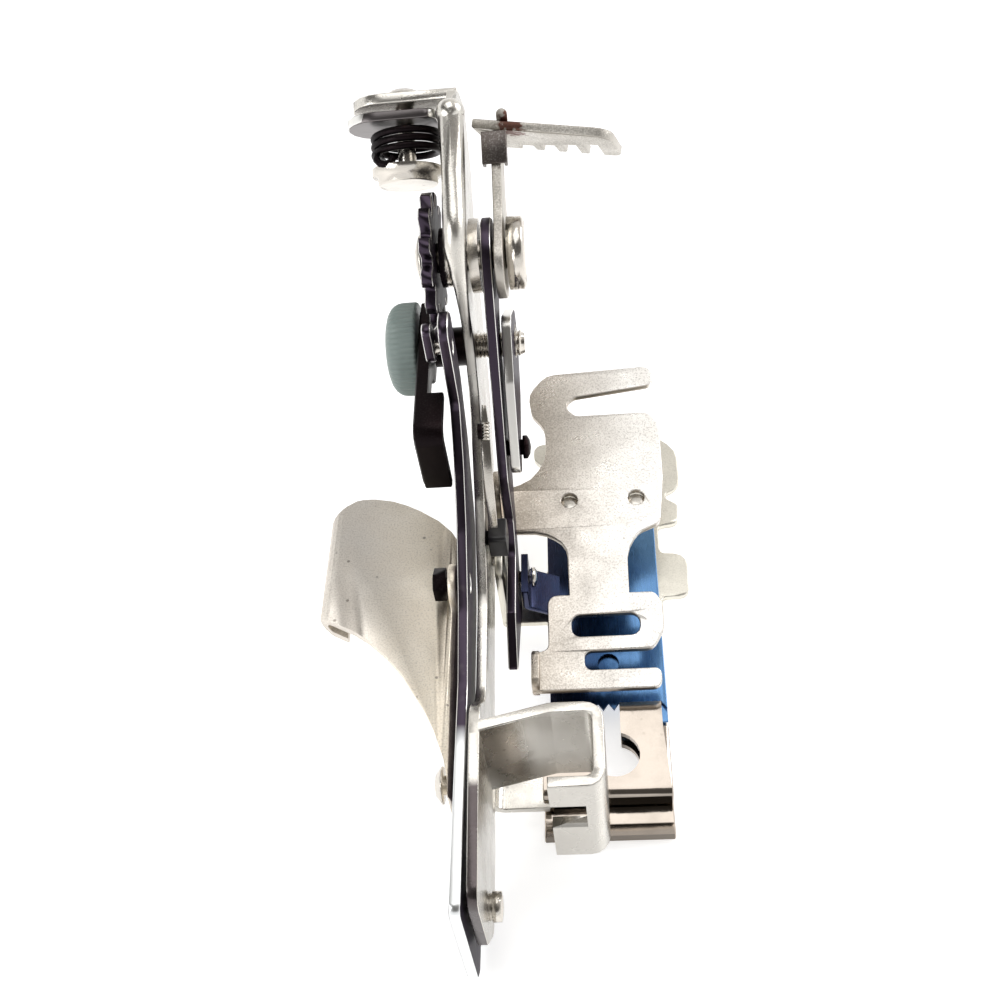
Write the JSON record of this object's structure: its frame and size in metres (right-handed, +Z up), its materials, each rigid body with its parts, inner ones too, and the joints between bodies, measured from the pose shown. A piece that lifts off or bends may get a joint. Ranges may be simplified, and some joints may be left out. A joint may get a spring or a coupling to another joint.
{
  "type": "sewing machine ruffler foot",
  "caption": "Ruffler attachment for a low-shank sewing machine: clamp hook, foot with sliding blades, cloth guides, and a side mechanism with drive lever, ratchet wheel and stroke adjuster",
  "frame": {"origin": "On the underside of the sole plate, 9 mm behind the needle's axis and on the needle's line", "axes": "+X to the sewer's left, which is the picture's right; +Y to the front of the machine bed, away from the shank; +Z up"},
  "size_m": [0.0416, 0.0813, 0.0557],
  "materials": {
    "nickel": "nickel-plated steel, bright with fine wear",
    "satin_nickel": "satin nickel-plated steel, grainy with small pits",
    "polished": "polished nickel-plated steel",
    "dark_steel": "darkened steel",
    "black_steel": "blackened steel, slightly brown",
    "blued_steel": "blued spring steel",
    "grey_green_plastic": "grey-green moulded plastic",
    "black_nylon": "black moulded plastic"
  },
  "bodies": {
    "root": {"frame": "nickel", "foot_plate": "polished", "sole_plate": "polished", "separator_blade": "blued_steel", "separator_guide": "satin_nickel", "under_guide": "satin_nickel", "pivot_pin": "nickel", "hub_stud": "nickel", "hub_spacer": "nickel", "stop_block": "black_nylon", "adjusting_bracket": "black_steel", "bracket_bush": "black_steel", "number_flange": "satin_nickel", "selector_spring": "black_steel", "selector_pin": "nickel", "selector_cap": "nickel", "neck_rivet": "nickel", "under_rivet": "nickel"},
    "lever": {"drive_lever": "dark_steel", "needle_clamp_wing": "satin_nickel", "wing_rivet": "nickel", "wing_screw": "black_steel", "pawl_pin": "nickel"},
    "feed_pawl": {"pawl": "dark_steel"},
    "wheel": {"ratchet_wheel": "dark_steel"},
    "carrier": {"blade_carrier": "dark_steel", "slotted_plate": "nickel", "slotted_rivet": "dark_steel"},
    "blade": {"ruffling_blade": "blued_steel", "drive_pin": "nickel"},
    "adjuster": {"adjusting_screw": "nickel", "adjusting_knob": "grey_green_plastic"},
    "selector": {"selector_lever": "dark_steel"}
  },
  "joints": [
    {"name": "lever_swing", "type": "hinge", "parent": "root", "child": "lever", "pos_m": [-0.01355, -0.012, 0.007], "axis": [1, 0, 0], "range_deg": [-4, 0]},
    {"name": "pawl_swing", "type": "hinge", "parent": "lever", "child": "feed_pawl", "pos_m": [-0.01535, 0.0352, 0.03823], "axis": [1, 0, 0], "range_deg": [-15, 0]},
    {"name": "wheel_spin", "type": "hinge", "parent": "root", "child": "wheel", "pos_m": [-0.01535, 0.0469, 0.0406], "axis": [1, 0, 0], "continuous": true},
    {"name": "carrier_swing", "type": "hinge", "parent": "root", "child": "carrier", "pos_m": [-0.00925, 0.0469, 0.0406], "axis": [1, 0, 0], "range_deg": [-5.1, 0]},
    {"name": "blade_slide", "type": "slide", "parent": "root", "child": "blade", "axis": [0, 0.9962, 0.0872], "range_m": [-0.00445, 0]},
    {"name": "adjuster_turn", "type": "hinge", "parent": "root", "child": "adjuster", "pos_m": [-0.012, 0.0442, 0.03], "axis": [1, 0, 0], "range_deg": [-360, 360]},
    {"name": "selector_turn", "type": "hinge", "parent": "root", "child": "selector", "pos_m": [-0.0177, 0.06, 0.0512], "axis": [0, 0.7431, 0.6691], "range_deg": [-12, 12]}
  ],
  "couplings": [
    {"joint": "carrier_swing", "follows": "lever_swing", "ratio": 1.2639},
    {"joint": "blade_slide", "follows": "lever_swing", "m_per_rad": 0.063266}
  ]
}
